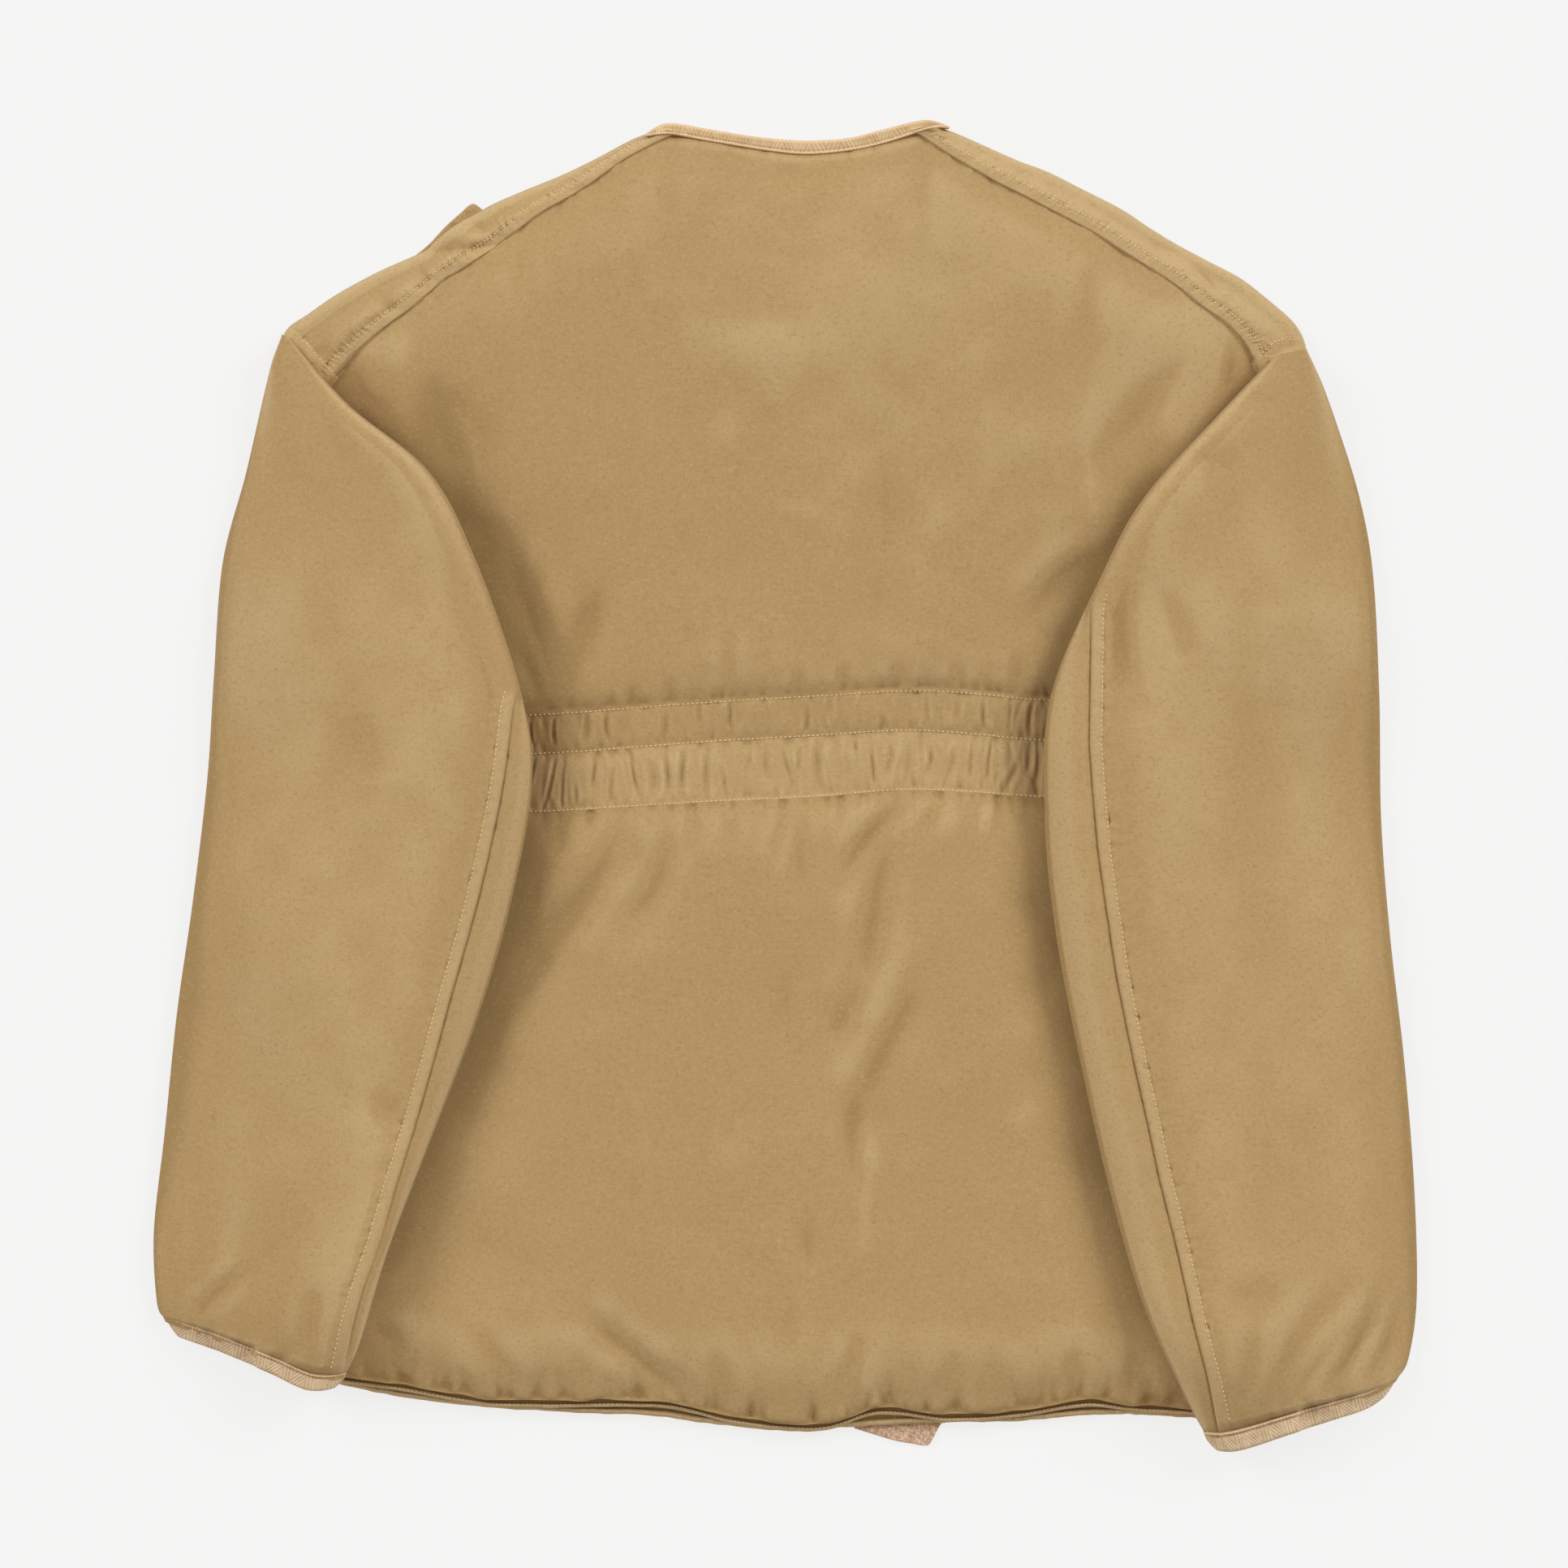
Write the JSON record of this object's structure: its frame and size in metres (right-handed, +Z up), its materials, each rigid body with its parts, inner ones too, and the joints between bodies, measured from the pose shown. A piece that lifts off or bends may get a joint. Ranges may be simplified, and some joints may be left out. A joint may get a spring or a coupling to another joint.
{
  "type": "down jacket",
  "caption": "Lightly filled down jacket with a bound neck, gathered waist casing and taped cuffs, lying on its front with both sleeves folded over the back.",
  "frame": {"origin": "centre of the laid-out jacket's box, on the surface that it lies on", "axes": "+X to the sleeve at the right as seen from above, +Y from the hem to the neck, +Z up from the surface"},
  "size_m": [0.7046, 0.7438, 0.0473],
  "materials": {
    "shell": "matte garment-dyed plain weave, tan",
    "casing": "matte garment-dyed plain weave, lighter tan where it is gathered and worn",
    "tape": "herringbone cotton tape, matte tan",
    "cuff_tape": "herringbone cotton tape, matte pale pinkish tan"
  },
  "bodies": {
    "root": {"front_left": "shell", "front_right": "shell", "back_upper": "shell", "back_lower": "shell", "waist_channel": "shell", "waist_casing": "casing", "shoulder_left": "shell", "shoulder_right": "shell", "hem_band_back": "casing", "hem_band_front_left": "casing", "hem_band_front_right": "casing", "neck_tape": "tape", "front_edge_tab": "tape", "shoulder_corner": "tape", "sleeve_left": "shell", "sleeve_right": "shell", "cuff_tape_left": "cuff_tape", "cuff_tape_right": "cuff_tape"}
  },
  "joints": []
}
